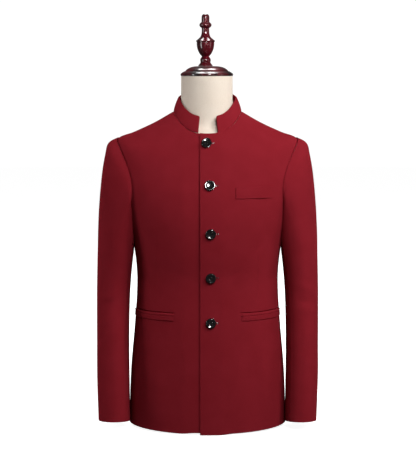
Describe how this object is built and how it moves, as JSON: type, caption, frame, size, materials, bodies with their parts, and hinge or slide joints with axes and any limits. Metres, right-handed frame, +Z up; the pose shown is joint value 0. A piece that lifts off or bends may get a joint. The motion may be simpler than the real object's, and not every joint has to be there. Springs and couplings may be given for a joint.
{
  "type": "stand-collar tailored jacket on a limbless tabletop dress form",
  "caption": "Single-breasted jacket with a stand collar, welt pockets and set-in sleeves, buttoned up on a linen-covered dress form with a turned wooden neck cap and finial.",
  "frame": {"origin": "under the middle of the whole, on the surface that the form's flat base stands on", "axes": "+Z up the form; the jacket's front faces -Y; +X is the wearer's left, the viewer's right"},
  "size_m": [0.499, 0.245, 0.9251],
  "materials": {
    "wool": "fine dark red worsted, soft satin",
    "linen": "tight natural linen, matt",
    "mahogany": "polished dark red-brown",
    "horn": "glossy near black"
  },
  "bodies": {
    "root": {"front_left": "wool", "front_right": "wool", "back_left": "wool", "back_right": "wool", "collar": "wool", "upper_sleeve_left": "wool", "under_sleeve_left": "wool", "upper_sleeve_right": "wool", "under_sleeve_right": "wool", "breast_welt": "wool", "hip_welt_left": "wool", "hip_welt_right": "wool", "button_1": "horn", "button_2": "horn", "button_3": "horn", "button_4": "horn", "button_5": "horn", "form_body": "linen", "neck_cap": "mahogany", "finial": "mahogany"}
  },
  "joints": []
}
